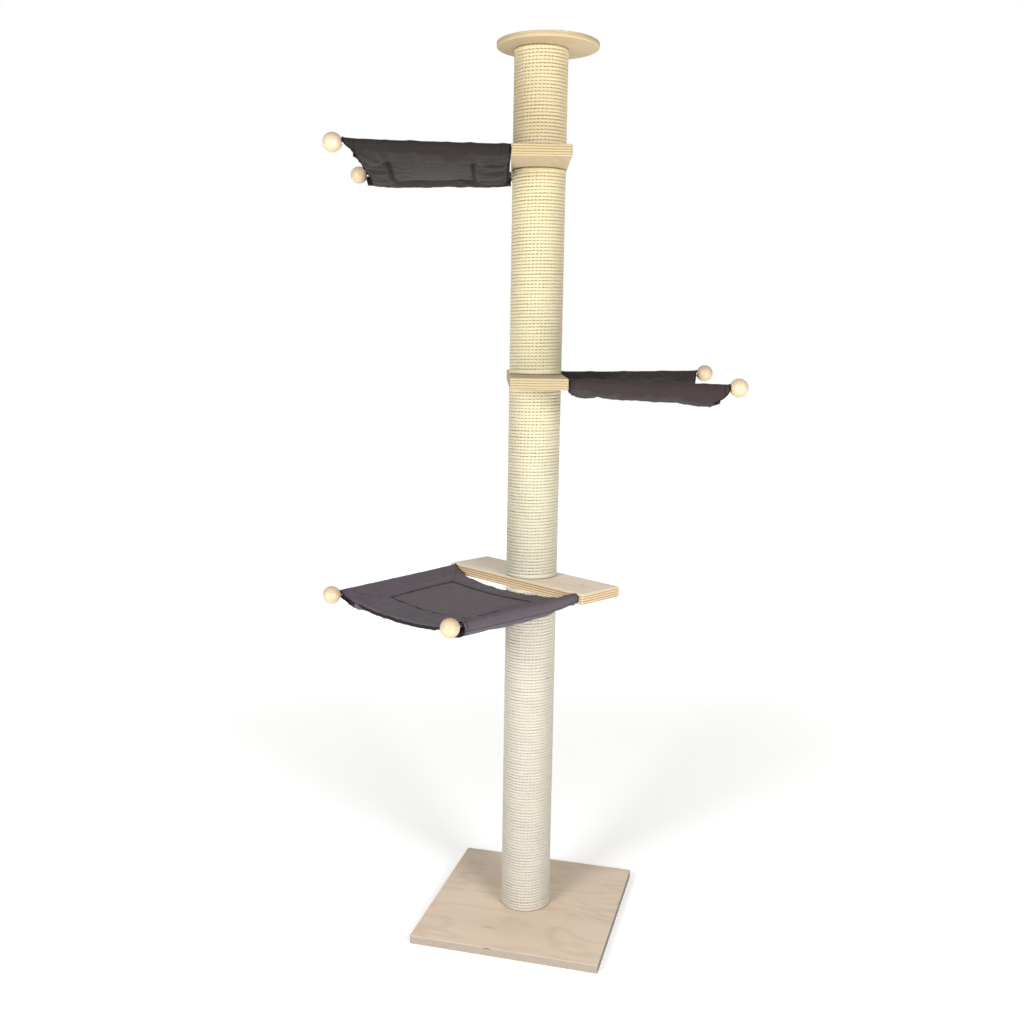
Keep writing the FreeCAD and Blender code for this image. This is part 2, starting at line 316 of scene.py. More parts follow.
def canvas(name, colour, worn, seam_width, stitched):
    """Plain-woven canvas. The weave follows the cloth's own flat coordinates, in metres. The
    seams, mitres, hems and the sleeves' stitching follow the distances that the cloth carries.
    The dark lines along the seams and mitres are their stitching and painted shade in their grooves."""
    material, tree = new_material(name)
    uv = node(tree, "UVMap", uv_map="cloth").outputs[0]
    split = node(tree, "SeparateXYZ", {0: uv})
    warp = calc(tree, "SINE", calc(tree, "MULTIPLY", split.outputs[0], math.tau / WARP_PITCH))
    weft = calc(tree, "SINE", calc(tree, "MULTIPLY", split.outputs[1], math.tau / WEFT_PITCH))
    weave = calc(tree, "MULTIPLY", warp, weft)
    slubs = uv_noise(tree, uv, 60, 700, 2.0)
    slubs_across = uv_noise(tree, uv, 700, 60, 2.0)
    mottle = uv_noise(tree, uv, 14, 14, 4.0)
    dust = uv_noise(tree, uv, 90, 90, 3.0, 0.7)
    streaks = uv_noise(tree, uv, 70, 9, 4.0, 0.65)
    to_seam = calc(tree, "ABSOLUTE", node(tree, "Attribute", attribute_name="to_seam").outputs["Fac"])
    seam = remap(tree, to_seam, 0.35 * seam_width, seam_width, 1.0, 0.0)
    mitre = calc(tree, "ABSOLUTE", node(tree, "Attribute", attribute_name="mitre").outputs["Fac"])
    mitre = remap(tree, mitre, 0.3, 1.5, 1.0, 0.0)
    stitch = calc(tree, "ABSOLUTE", node(tree, "Attribute", attribute_name="stitch").outputs["Fac"])
    stitch = calc(tree, "MULTIPLY", remap(tree, stitch, 0.3, 1.4, 1.0, 0.0), stitched)
    to_edge = node(tree, "Attribute", attribute_name="to_edge").outputs["Fac"]
    to_hem_stitch = calc(tree, "ABSOLUTE", calc(tree, "SUBTRACT", to_edge, HEM_STITCH))
    hem = remap(tree, to_hem_stitch, 0.3, 1.2, 1.0, 0.0)
    line = calc(tree, "MAXIMUM", calc(tree, "MULTIPLY", mitre, 0.6), calc(tree, "MULTIPLY", hem, 0.5))
    line = calc(tree, "MAXIMUM", calc(tree, "MAXIMUM", line, stitch), seam)
    threads = calc(tree, "MULTIPLY", calc(tree, "ADD", slubs, slubs_across), 0.5)
    shade = mix(tree, remap(tree, threads, 0.3, 0.7, 0.0, 0.55), colour, tuple(c * 1.35 for c in colour))
    shade = mix(tree, remap(tree, weave, -0.9, 0.9, 0.16, 0.0), shade, tuple(c * 0.45 for c in colour))
    shade = mix(tree, remap(tree, mottle, 0.35, 0.7, 0.0, 0.30), shade, tuple(c * 0.80 for c in colour))
    shade = mix(tree, remap(tree, dust, 0.5, 0.8, 0.0, 0.25), shade, worn)
    shade = mix(tree, remap(tree, to_edge, 0.0, 5.0, 0.25, 0.0), shade, worn)
    shade = mix(tree, remap(tree, streaks, 0.5, 0.75, 0.0, 0.30), shade, worn)
    # the lines darken the colour: stitching along the hems and sleeves, and along the seams and mitres their
    # stitching plus painted shade in their grooves
    shade = mix(tree, calc(tree, "MULTIPLY", line, 0.92), shade, tuple(c * 0.15 for c in colour))
    relief = calc(tree, "MULTIPLY_ADD", weave, 0.22, calc(tree, "MULTIPLY", threads, 0.9))
    relief = calc(tree, "MULTIPLY_ADD", mottle, 2.2, relief)
    relief = calc(tree, "MULTIPLY_ADD", line, -1.6, relief)
    surface(tree, shade, 0.88, bump(tree, relief, 0.45, 0.0006), Specular_IOR_Level=0.18,
            Sheen_Weight=0.06, Sheen_Roughness=0.5)
    return material


def turned_wood(name, light, dark):
    """Fine pale wood with its grain along each ball's rod, and a faint lathe polish."""
    material, tree = new_material(name)
    where = place(tree, (18, 18, 120))
    grain = noise_at(tree, where, 1.0, 4.0, 0.6, 0.6)
    pores = noise_at(tree, place(tree, (90, 90, 700)), 1.0, 2.0, 0.5)
    colour = mix(tree, remap(tree, grain, 0.38, 0.7), light, dark)
    colour = mix(tree, remap(tree, pores, 0.6, 0.8, 0.0, 0.35), colour, tuple(c * 0.75 for c in dark))
    surface(tree, colour, remap(tree, grain, 0.3, 0.7, 0.34, 0.44), bump(tree, pores, 0.15, 0.0002),
            Specular_IOR_Level=0.45, Coat_Weight=0.12, Coat_Roughness=0.3)
    return material


def pine(name):
    material, tree = new_material(name)
    grain = noise_at(tree, place(tree, (8, 90, 8)), 1.0, 4.0, 0.55, 0.8)
    rings = remap(tree, calc(tree, "PINGPONG", calc(tree, "MULTIPLY", grain, 8.0), 0.5), 0.0, 0.3, 1.0, 0.0)
    colour = mix(tree, rings, (0.72, 0.52, 0.30), (0.50, 0.30, 0.13))
    surface(tree, colour, 0.6, bump(tree, grain, 0.3, 0.0004))
    return material


def paper_tube(name):
    material, tree = new_material(name)
    height = node(tree, "SeparateXYZ", {0: node(tree, "TexCoord").outputs["Object"]}).outputs[2]
    plies = calc(tree, "PINGPONG", calc(tree, "MULTIPLY", height, 9.0), 0.5)
    fibres = noise_at(tree, place(tree, (160, 160, 60)), 1.0, 4.0, 0.7)
    colour = mix(tree, remap(tree, fibres, 0.35, 0.7), (0.40, 0.28, 0.17), (0.28, 0.19, 0.11))
    colour = mix(tree, remap(tree, plies, 0.0, 0.02, 0.5, 0.0), colour, (0.16, 0.10, 0.06))
    surface(tree, colour, 0.9, bump(tree, fibres, 0.3, 0.0004))
    return material


def metal(name, colour, smooth, rough, stretch):
    """Drawn or plated steel, with fine scratches along stretch and dull patches."""
    material, tree = new_material(name)
    scratches = noise_at(tree, place(tree, stretch), 1.0, 3.0, 0.6)
    patches = noise_at(tree, place(tree, (60, 60, 60)), 1.0, 3.0, 0.6)
    shade = mix(tree, remap(tree, patches, 0.4, 0.7, 0.0, 0.4), colour, tuple(c * 0.7 for c in colour))
    surface(tree, shade, remap(tree, scratches, 0.3, 0.7, smooth, rough),
            bump(tree, scratches, 0.1, 0.0001), Metallic=1.0)
    return material


# ---------------------------------------------------------------- meshes

def make_piece(name, points, quads, ends=(), uv=None, values=None, smooth=True):
    """A mesh object from points in millimetres. ends are faces with any number of corners."""
    mesh = bpy.data.meshes.new(name)
    quads = np.asarray(quads, np.int32)
    corners = np.concatenate([quads.ravel(), *[np.asarray(e, np.int32) for e in ends]])
    starts = np.arange(0, quads.size, 4)
    reached = quads.size
    for end in ends:
        starts = np.append(starts, reached)
        reached += len(end)
    mesh.vertices.add(len(points))
    mesh.vertices.foreach_set("co", (np.asarray(points, float) * MM).astype(np.float32).ravel())
    mesh.loops.add(len(corners))
    mesh.loops.foreach_set("vertex_index", corners.astype(np.int32))
    mesh.polygons.add(len(starts))
    mesh.polygons.foreach_set("loop_start", starts.astype(np.int32))
    if uv is not None:
        layer = mesh.uv_layers.new(name=uv[0])
        layer.data.foreach_set("uv", np.asarray(uv[1], np.float32).ravel())
    for key, numbers in (values or {}).items():
        attribute = mesh.attributes.new(key, "FLOAT", "POINT")
        attribute.data.foreach_set("value", np.asarray(numbers, np.float32))
    mesh.polygons.foreach_set("use_smooth", np.full(len(starts), smooth))
    mesh.update(calc_edges=True)
    mesh.validate()
    made = bpy.data.objects.new(name, mesh)
    bpy.context.scene.collection.objects.link(made)
    return made


def paint(piece, material):
    piece.data.materials.clear()
    piece.data.materials.append(material)


def points_of(piece):
    flat = np.empty(len(piece.data.vertices) * 3, np.float32)
    piece.data.vertices.foreach_get("co", flat)
    return flat.reshape(-1, 3).astype(float) / MM


FLOOR_HALF = 15000.0
FLOOR_DROP = 0.0005  # metres below the base, so that the two do not share a plane


def make_floor():
    """A pale matt floor that glows a little more the further it is from the post."""
    corners = [(x * FLOOR_HALF, y * FLOOR_HALF, 0) for x, y in ((-1, -1), (1, -1), (1, 1), (-1, 1))]
    floor = make_piece("floor", corners, [(0, 1, 2, 3)], smooth=False)
    floor.location.z = -FLOOR_DROP
    material, tree = new_material("floor")
    speckle = noise_at(tree, place(tree, (3, 3, 3)), 1.0, 2.0)
    from_post = node(tree, "VectorMath", {0: place(tree)}, operation="LENGTH").outputs["Value"]
    glow = remap(tree, from_post, 0.4, 3.5, 0.30, 0.80)
    surface(tree, mix(tree, speckle, (0.93, 0.93, 0.93), (0.95, 0.95, 0.945)), 0.9,
            Specular_IOR_Level=0.1, Emission_Color=(1, 1, 1, 1), Emission_Strength=glow)
    paint(floor, material)
    return floor


# ---------------------------------------------------------------- rope

ROPE_PITCH = 7.2
ROPE_LAY = 26.0  # how far along the rope one strand takes to go round it
ROPE_CREST = 4.6  # from the rope's middle to the outside of a strand
ROPE_VALLEY = 3.1  # and to the bottom of the groove between two strands
ROPE_CENTRE = 57.9  # from the post's axis to the rope's middle
ROPE_PRESSED = 0.40  # how much of its roundness the wound rope keeps on its outside
ROPE_MOST_SWELL = 0.08  # how far a loose turn may stand out
ROPE_TUCK = 8.5  # how deep its ends go in
STEPS_PER_TURN = 128
STRAND_POINTS = 6


def wind_rope(number, start_degrees):
    """One section's rope: three laid strands, wound in a single close layer, its ends tucked in.
    The first and last turns lie flat against what they meet, and press into their neighbours."""
    node_name = f"post_{number}_sisal_winding"
    low, high = (corner.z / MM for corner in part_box(node_name))
    bottom, top = low + ROPE_CREST, high - ROPE_CREST
    turns = (top - bottom) / ROPE_PITCH + 1.9
    steps = int(turns * STEPS_PER_TURN)
    turn = np.arange(steps + 1) * (turns / steps)
    to_end = np.minimum(turn, turns - turn)
    random = np.random.default_rng(40 + number)
    knots = np.arange(0, turns + 2, 0.35)
    wander = np.interp(turn, knots, random.normal(0, 0.16, len(knots)))
    swell = np.interp(turn, knots, random.normal(0, 0.12, len(knots)))
    angle = math.radians(start_degrees) + math.tau * turn
    height = np.clip(bottom + ROPE_PITCH * (turn - 0.95), bottom, top)
    height += wander * np.clip(to_end - 1, 0, 1)
    tuck = np.clip(1 - to_end / 0.035, 0, 1)
    reach = ROPE_CENTRE + np.minimum(swell, ROPE_MOST_SWELL) - ROPE_TUCK * tuck ** 2
    arc = turn * math.tau * ROPE_CENTRE
    k = np.arange(STRAND_POINTS)
    phi = math.tau * k[None, :] / STRAND_POINTS + math.tau * arc[:, None] / ROPE_LAY
    size = np.where(k % 2 == 0, ROPE_CREST, ROPE_VALLEY)[None, :] * (1 - 0.35 * tuck[:, None])
    out = reach[:, None] + size * np.cos(phi) * np.where(np.cos(phi) > 0, ROPE_PRESSED, 1)
    up = height[:, None] - size * np.sin(phi)
    points = np.stack([out * np.cos(angle)[:, None], out * np.sin(angle)[:, None], up], -1).reshape(-1, 3)
    row = np.arange(steps)[:, None] * STRAND_POINTS
    here, there = row + k, row + (k + 1) % STRAND_POINTS
    quads = np.stack([here, there, there + STRAND_POINTS, here + STRAND_POINTS], -1).reshape(-1, 4)
    first = list(range(STRAND_POINTS))[::-1]
    last = [steps * STRAND_POINTS + i for i in range(STRAND_POINTS)]
    s = np.broadcast_to((arc * MM)[:-1, None], here.shape)
    s_next = np.broadcast_to((arc * MM)[1:, None], here.shape)
    a = np.broadcast_to(k / STRAND_POINTS, here.shape)
    b = a + 1 / STRAND_POINTS
    uv = np.stack([np.stack([s, a], -1), np.stack([s, b], -1), np.stack([s_next, b], -1),
                   np.stack([s_next, a], -1)], 2).reshape(-1, 2)
    uv = np.concatenate([uv, np.zeros((2 * STRAND_POINTS, 2))])
    # where painted shade goes: the valleys between strands, and the flanks facing in between turns
    valley_shade = np.broadcast_to((k % 2).astype(float), phi.shape).ravel()
    side = np.clip((0.40 - np.cos(phi)) / 0.6, 0, 1).ravel()
    piece = make_piece(f"post_{number}_rope", points, quads, (first, last), ("rope", uv),
                       {"valley_shade": valley_shade, "side": side})
    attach(piece, "stand")
    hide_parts(node_name)
    return piece


# ---------------------------------------------------------------- hammocks

BOARD_TURNS = (-31.0, 106.0, -75.0)  # degrees about the post's axis
BORDER_START, BORDER_END = 64.0, 406.0  # out from the post's axis, along the rods
BORDER_SAGS = ((12.0, 27.0), (30.0, 50.0), (29.0, 39.0))  # near the board, at the outer edge
SAG_POWERS = (0.85, 1.0, 1.5)  # 1 for a parabola, less where the canvas leaves its rods steeply
INNER_HOLLOWS = (24.0, 20.0, 4.0)  # how far the free edges curve in at the middle
OUTER_HOLLOWS = (12.0, 24.0, 36.0)
WIDTH_PLACE = 220.0  # where along the rods each hammock's width is taken
PANEL_HALF = 132.0
PANEL_SPANS = ((-PANEL_HALF, PANEL_HALF), (-PANEL_HALF, PANEL_HALF), (-110.0, 148.0))  # along each board
MITRE_REACH = 75.0  # how far out a mitre runs while it crosses the side of the border
MITRE_SQUARE = 0.74  # from a distance along the board to one square to the mitre
PANEL_REACHES = ((132.0, 315.0), (140.0, 322.0), (143.0, 323.0))  # out from the post's axis
# How far each left and right sleeve hangs below its rod, at these distances out from the post
DROP_PLACES = (64, 150, 300, 350, 406)
SLEEVE_DROPS = (((20, 22, 23, 24, 23), (9, 21, 21, 20, 18)),
                ((8, 19, 22, 33, 31), (17, 21, 22, 22, 22)),
                ((21, 21, 21, 21, 21), (15, 17, 17, 16, 14)))
SLEEVE_SLANTS = ((24, 6), (30, 3), (6, 22))  # how far its lower edge is set back at the outer end
SLANT_POWERS = (1.5, 2.6, 2.2)  # 1 for a straight cut, more for a rounded corner
SLEEVE_SET_BACKS = ((0, 8), (0, 0), (-4, 0))  # how much shorter each whole sleeve is there
SLEEVE_FOOT = 2.5
STITCH_PLACE = 0.72  # the share of the way down a sleeve of the stitching along it
# From a rod's middle up to the canvas lying on it: at the board, a third out, near its end, at it
SLEEVE_RISES = ((11.0, 9.0, 7.2, 7.0), (10.5, 8.4, 7.4, 7.0), (7.6, 7.2, 7.6, 10.0))
RISE_PLACES = (BORDER_START, 180, 365, BORDER_END)
PUFFS = (6.5, 5.5, 8.0)  # half the border's thickness between its seams
# The share of a strip's fullness above its seams, and that below them
PUFF_SHARES = ((0.6, 1.3), (1.0, 1.0), (1.0, 1.0))
PUFF_RISES = (15.0, 16.0, 11.0)  # how far from a seam the border reaches its full thickness
CREASING = (0.6, 1.2, 1.5)  # how wrinkled each hammock is
CREASE_WAVES = ((74.0, 0.9), (41.0, 0.7), (23.0, 0.45))  # the length and size of each
GATHERED = (0.3, 1.5, 0.9)  # how bunched each sleeve is beside its board
GATHER_PITCH, GATHER_REACH, GATHER_DEPTH = 17, 70, 3.0
CLOTH_THICKNESS = 1.2
PANEL_THICKNESS = 2.0
HEM_RADIUS = 1.4  # of the rolled hems round the sleeves' mouths
# The doubled edge between them: a rolled hem, dark with painted shade for the line along the edge, and the
# lower layer's fuller one under it
FOLD_RADII = (1.5, 2.4)
FOLD_DROPS = ((1.2, 4.4), (0.4, 1.2), (0.4, 1.0))
END_FADE = 0.12  # the share of the doubled edge's length in which it draws in
# Shares of the way from a hammock's middle to a rod: where the lower layer begins to fall to the
# sleeve's foot, where the folded edge ends and the mouth opens, and where the canvas meets the rod
FALL_START, MOUTH, ROD_START = 0.64, 0.76, 0.80
MOUTH_WIDTH, CUT_WIDTH = 0.12, 0.09  # over which the mouth opens, and its lower layer steps back
# The outside of a sleeve, from the top of its rod to its foot: along the board, and the share of
# the way down
OUTSIDE = ((4.6, 0.04), (7.2, 0.15), (8.9, 0.30), (9.8, 0.48), (9.2, 0.67), (7.0, 0.85))

SIDE_COLUMNS, PANEL_COLUMNS, OUTSIDE_COLUMNS = 11, 36, len(OUTSIDE) + 1
INNER_ROWS, PANEL_ROWS, OUTER_ROWS = 9, 25, 12
SEAM_ROWS = (INNER_ROWS, INNER_ROWS + PANEL_ROWS)
SEAM_COLUMNS = (SIDE_COLUMNS, SIDE_COLUMNS + PANEL_COLUMNS)
CLOTH_ROWS = INNER_ROWS + PANEL_ROWS + OUTER_ROWS + 1
LAYER = 2 * SIDE_COLUMNS + PANEL_COLUMNS  # columns from rod to rod in one layer
LOWER = LAYER + OUTSIDE_COLUMNS  # the lower layer's first column
CLOTH_COLUMNS = 2 * LOWER


def perch_turn(number):
    return np.array(Matrix.Rotation(math.radians(BOARD_TURNS[number - 1]), 3, "Z"))


def rod_line(number, side):
    """A rod's middle line in its perch's frame: a function of the distance out from the post."""
    name = f"perch_{number}_{side}"
    back = perch_turn(number).T
    low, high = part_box(name + "_ball")
    ball = back @ (np.array((low + high) / 2) / MM)
    rod = points_of(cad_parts[name + "_rod"]) @ back.T
    inner = rod[rod[:, 1] > rod[:, 1].max() - 2]
    inner = (inner.min(0) + inner.max(0)) / 2
    slope = (ball - inner) / (ball[1] - inner[1])
    return lambda out: ball + (-np.asarray(out, float)[..., None] - ball[1]) * slope


def smooth_step(x):
    x = np.clip(x, 0, 1)
    return x * x * (3 - 2 * x)


def rise(x):
    """From 0 to 1 as a quarter circle does."""
    x = np.clip(x, 0, 1)
    return np.sqrt(1 - (1 - x) ** 2)


def lay_out_cloth(number):
    """One hammock's canvas as a grid of points: columns run round both layers, from the left
    rod's top over the upper layer and back under the lower one, and rows run out along the rods.
    Also gives the distances from the seams that the looks need."""
    left, right = rod_line(number, "left"), rod_line(number, "right")
    sags, span, reach = (table[number - 1] for table in (BORDER_SAGS, PANEL_SPANS, PANEL_REACHES))
    left_x, right_x = left(WIDTH_PLACE)[0], right(WIDTH_PLACE)[0]
    half, centre = (right_x - left_x) / 2, (right_x + left_x) / 2
    seams = [(edge - centre) / half for edge in span]
    layer = np.concatenate([np.linspace(-1, seams[0], SIDE_COLUMNS + 1)[:-1],
                            np.linspace(seams[0], seams[1], PANEL_COLUMNS + 1)[:-1],
                            np.linspace(seams[1], 1, SIDE_COLUMNS + 1)])
    round_rod = np.ones(OUTSIDE_COLUMNS - 1)
    share = np.concatenate([layer, round_rod, layer[::-1], -round_rod])
    share = np.broadcast_to(share, (CLOTH_ROWS, CLOTH_COLUMNS))
    column = np.arange(CLOTH_COLUMNS)
    upper, lower = column <= LAYER, (column >= LOWER) & (column <= LOWER + LAYER)
    fallen_share = np.clip((np.abs(share) - FALL_START) / (1 - FALL_START), 0, 1)
    down = np.where(lower, 1 - (1 - fallen_share) ** 1.5, 0.0)
    for step, (_, fallen) in enumerate(OUTSIDE):
        down[:, LAYER + 1 + step] = down[:, CLOTH_COLUMNS - 1 - step] = fallen
    slant = np.where(share < 0, *SLEEVE_SLANTS[number - 1])
    inner = BORDER_START + INNER_HOLLOWS[number - 1] * (1 - np.abs(share) ** 2.4)
    on_rod = smooth_step((np.abs(share) - ROD_START) / (1 - ROD_START))
    set_back = np.where(share < 0, *SLEEVE_SET_BACKS[number - 1]) * on_rod
    stepped_back = smooth_step((np.abs(share) - MOUTH) / CUT_WIDTH)
    cut = np.where(lower, stepped_back, down ** SLANT_POWERS[number - 1])
    outer = BORDER_END - set_back - OUTER_HOLLOWS[number - 1] * (1 - share ** 2) - slant * cut
    near, far = reach
    row = np.arange(CLOTH_ROWS)[:, None]
    shares = [np.clip((row - start) / count, 0, 1) for start, count in
              ((0, INNER_ROWS), (SEAM_ROWS[0], PANEL_ROWS), (SEAM_ROWS[1], OUTER_ROWS))]
    out = inner + (near - inner) * shares[0] + (far - near) * shares[1] + (outer - far) * shares[2]
    along = (out - BORDER_START) / (BORDER_END - BORDER_START)
    sag = sags[0] + (sags[1] - sags[0]) * along
    point = left(out) * ((1 - share) / 2)[..., None] + right(out) * ((1 + share) / 2)[..., None]
    point[..., 2] -= sag * (1 - share ** 2) ** SAG_POWERS[number - 1]
    x = centre + share * half
    beside, beyond = np.maximum(span[0] - x, x - span[1]), np.maximum(near - out, out - far)
    to_seam = np.hypot(np.maximum(beside, 0), np.maximum(beyond, 0))
    to_seam += np.minimum(np.maximum(beside, beyond), 0)
    to_edge = np.minimum(out - inner, outer - out)
    mouth = smooth_step((np.abs(share) - MOUTH) / MOUTH_WIDTH)
    puff, puff_rise = PUFFS[number - 1], PUFF_RISES[number - 1]
    thick = puff * np.maximum(rise(to_edge / puff_rise), mouth) * rise(to_seam / puff_rise)
    drops = np.where(share < 0, *[np.interp(out, DROP_PLACES, d)
                                  for d in SLEEVE_DROPS[number - 1]])
    rises = np.interp(out, RISE_PLACES, SLEEVE_RISES[number - 1])
    above, below = PUFF_SHARES[number - 1]
    raised = above * thick * (1 - on_rod) + rises * on_rod
    lowered = -below * thick * (1 - on_rod) - drops * down
    point[..., 2] += np.where(upper, raised, np.where(lower, lowered, rises - (rises + drops) * down))
    sideways = np.where(lower, SLEEVE_FOOT * down ** 3, 0.0)
    for step, (beyond_rod, _) in enumerate(OUTSIDE):
        sideways[:, LAYER + 1 + step] = sideways[:, CLOTH_COLUMNS - 1 - step] = beyond_rod
    sideways *= 0.8 + 0.2 * drops / 22
    gathers = np.sin(math.tau * out / GATHER_PITCH + 3.0 * down + number)
    gathers *= np.clip(1 - (out - BORDER_START) / GATHER_REACH, 0, 1)
    sideways += np.where(down > 0.1, GATHER_DEPTH * GATHERED[number - 1] * gathers, 0)
    point[..., 0] += np.sign(share) * sideways
    crease(number, point, share, out, x, to_seam, upper, mouth, on_rod)
    mitre = (beside - beyond * (half - PANEL_HALF) / MITRE_REACH) * MITRE_SQUARE
    mitre = np.where(to_seam > 0, mitre, 20.0 * np.sign(mitre))
    stitch = drops * (down - STITCH_PLACE)
    return {"point": point, "share": share, "out": out, "to_seam": to_seam, "to_edge": to_edge,
            "mitre": mitre, "stitch": stitch}


def crease(number, point, share, out, x, to_seam, upper, mouth, on_rod):
    """Soft puckers across the border strips, largest between the seams."""
    random = np.random.default_rng(700 + number)
    ripple = np.zeros(share.shape)
    for wave, size in CREASE_WAVES:
        phase = random.uniform(0, math.tau, 4)
        run = np.where(np.abs(share) > 0.62, out, x)
        drift = 1.7 * np.sin(x / 41 + out / 67 + phase[1])
        ripple += size * np.sin(math.tau * run / wave + phase[0] + drift)
    loose = smooth_step(to_seam / 16) * (1 - 0.4 * mouth)
    outward = ripple * (1 - on_rod) + np.maximum(ripple, 0) * on_rod
    ripple = np.where(upper | (on_rod > 0), outward, -ripple)
    point[..., 2] += CREASING[number - 1] * ripple * loose


def join_layers(cloth):
    """Numbers the grid's points so that the two layers share the panel's seam and the folded
    free edges, and lists the faces, with the panel as one layer."""
    index = np.arange(CLOTH_ROWS * CLOTH_COLUMNS).reshape(CLOTH_ROWS, CLOTH_COLUMNS)
    for k in range(LAYER + 1):
        for r in range(CLOTH_ROWS):
            on_seam = (r in SEAM_ROWS and SEAM_COLUMNS[0] <= k <= SEAM_COLUMNS[1]) or (
                k in SEAM_COLUMNS and SEAM_ROWS[0] <= r <= SEAM_ROWS[1])
            on_edge = r in (0, CLOTH_ROWS - 1) and abs(cloth["share"][0, k]) < MOUTH
            if on_seam or on_edge:
                index[r, LOWER + LAYER - k] = index[r, k]
    loop = np.concatenate([cloth["point"], cloth["point"][:, :1]], 1)
    arc = np.zeros((CLOTH_ROWS, CLOTH_COLUMNS + 1))
    arc[:, 1:] = np.cumsum(np.linalg.norm(np.diff(loop, axis=1), axis=2), 1)
    faces, of_panel, uv = [], [], []
    for r in range(CLOTH_ROWS - 1):
        beside_panel = SEAM_ROWS[0] <= r < SEAM_ROWS[1]
        for c in range(CLOTH_COLUMNS):
            mirrored = LOWER + LAYER - c - 1
            if beside_panel and c >= LOWER and SEAM_COLUMNS[0] <= mirrored < SEAM_COLUMNS[1]:
                continue
            d = (c + 1) % CLOTH_COLUMNS
            faces.append((index[r, c], index[r + 1, c], index[r + 1, d], index[r, d]))
            of_panel.append(beside_panel and SEAM_COLUMNS[0] <= c < SEAM_COLUMNS[1])
            uv += [(arc[rr, cc] * MM, cloth["out"][rr, cc % CLOTH_COLUMNS] * MM)
                   for rr, cc in ((r, c), (r + 1, c), (r + 1, c + 1), (r, c + 1))]
    used, numbered = np.unique(np.array(faces), return_inverse=True)
    lookup = np.searchsorted(used, index).clip(0, len(used) - 1)
    return numbered.reshape(-1, 4), np.array(of_panel), np.array(uv), used, lookup


def make_hammock(number, materials):
    cloth = lay_out_cloth(number)
    faces, of_panel, uv, used, lookup = join_layers(cloth)
    r, c = np.indices((CLOTH_ROWS, CLOTH_COLUMNS))
    beside_panel = (r >= SEAM_ROWS[0]) & (r <= SEAM_ROWS[1])
    along_panel = (c >= SEAM_COLUMNS[0]) & (c <= SEAM_COLUMNS[1])
    seam = (np.isin(r, SEAM_ROWS) & along_panel) | (np.isin(c, SEAM_COLUMNS) & beside_panel)
    edge = np.isin(r, (0, CLOTH_ROWS - 1)) & (np.abs(cloth["share"]) < MOUTH)
    wrapped = np.isin(c, [k % CLOTH_COLUMNS for k in (-2, -1, 0, 1, LAYER - 1, LAYER, LAYER + 1, LAYER + 2)])
    outside = ((c > LAYER) & (c < LOWER)) | (c > LOWER + LAYER)
    panel = beside_panel & along_panel
    pin = np.where(seam | edge | wrapped, 1.0, np.where(outside, 0.6, np.where(panel, 0.3, 0.0)))
    compact = lambda grid: grid.reshape(-1)[used]
    points = cloth["point"].reshape(-1, 3)[used] @ perch_turn(number).T
    piece = make_piece(f"perch_{number}_cloth", points, faces, uv=("cloth", uv),
                       values={k: compact(cloth[k]) for k in ("to_seam", "to_edge", "mitre", "stitch")})
    piece.data.materials.append(materials["border"])
    piece.data.materials.append(materials["panel"])
    piece.data.polygons.foreach_set("material_index", of_panel.astype(np.int32))
    settle(piece, compact(pin), compact(np.where(panel, 0.0, 1.0)))
    settled = points_of(piece)[lookup]
    finish_with(piece, "SUBSURF", levels=1, render_levels=1)
    clear_rods(piece, number)
    border, panel = split_hammock(piece, number, materials)
    hems = make_hems(number, settled, cloth["share"][0], materials["hem"], materials["border"])
    return border, panel, hems


CLOTH_FRAMES = 16
MOST_MOVEMENT = 7.0  # the furthest that hanging may carry any part of the cloth
ROD_WRAP = 6.2  # the least distance from a rod's middle to the canvas round it


def settle(piece, pin, puff):
    """Lets the cloth hang: Blender's cloth simulation, with light pressure in the border."""
    start = points_of(piece)
    for name, weights in (("pin", pin), ("puff", puff)):
        group = piece.vertex_groups.new(name=name)
        for value in np.unique(weights):
            group.add([int(i) for i in np.nonzero(weights == value)[0]], float(value), "REPLACE")
    modifier = piece.modifiers.new("cloth", "CLOTH")
    settings = modifier.settings
    settings.quality = 6
    settings.mass = 0.02
    settings.tension_stiffness = 20
    settings.compression_stiffness = 20
    settings.shear_stiffness = 8
    settings.bending_stiffness = 0.6
    settings.air_damping = 2.0
    settings.vertex_group_mass = "pin"
    settings.use_pressure = True
    settings.uniform_pressure_force = 0.6
    settings.vertex_group_pressure = "puff"
    settings.shrink_min = -0.02
    modifier.collision_settings.use_collision = False
    modifier.collision_settings.use_self_collision = False
    modifier.point_cache.frame_start = 1
    modifier.point_cache.frame_end = CLOTH_FRAMES
    scene = bpy.context.scene
    for f in range(1, CLOTH_FRAMES + 1):
        scene.frame_set(f)
    evaluated = piece.evaluated_get(bpy.context.evaluated_depsgraph_get())
    flat = np.empty(len(start) * 3, np.float32)
    evaluated.data.vertices.foreach_get("co", flat)
    moved = flat.reshape(-1, 3).astype(float) / MM - start
    size = np.linalg.norm(moved, axis=1, keepdims=True)
    print("settled", piece.name, "largest", size.max().round(2), "mean", size.mean().round(2))
    moved *= np.minimum(1, MOST_MOVEMENT / np.maximum(size, 1e-9))
    piece.modifiers.remove(modifier)
    scene.frame_set(1)
    piece.data.vertices.foreach_set("co", ((start + moved) * MM).astype(np.float32).ravel())
    piece.vertex_groups.clear()
    piece.data.update()


def clear_rods(piece, number):
    """Moves any canvas that lies too near a rod out to where it wraps the rod."""
    turn = perch_turn(number)
    points = points_of(piece) @ turn
    for side in ("left", "right"):
        away = points - rod_line(number, side)(-points[:, 1])
        away[:, 1] = 0
        size = np.linalg.norm(away, axis=1, keepdims=True)
        points += away * (np.maximum(size, ROD_WRAP) / np.maximum(size, 0.01) - 1)
    piece.data.vertices.foreach_set("co", (points @ turn.T * MM).astype(np.float32).ravel())
    piece.data.update()


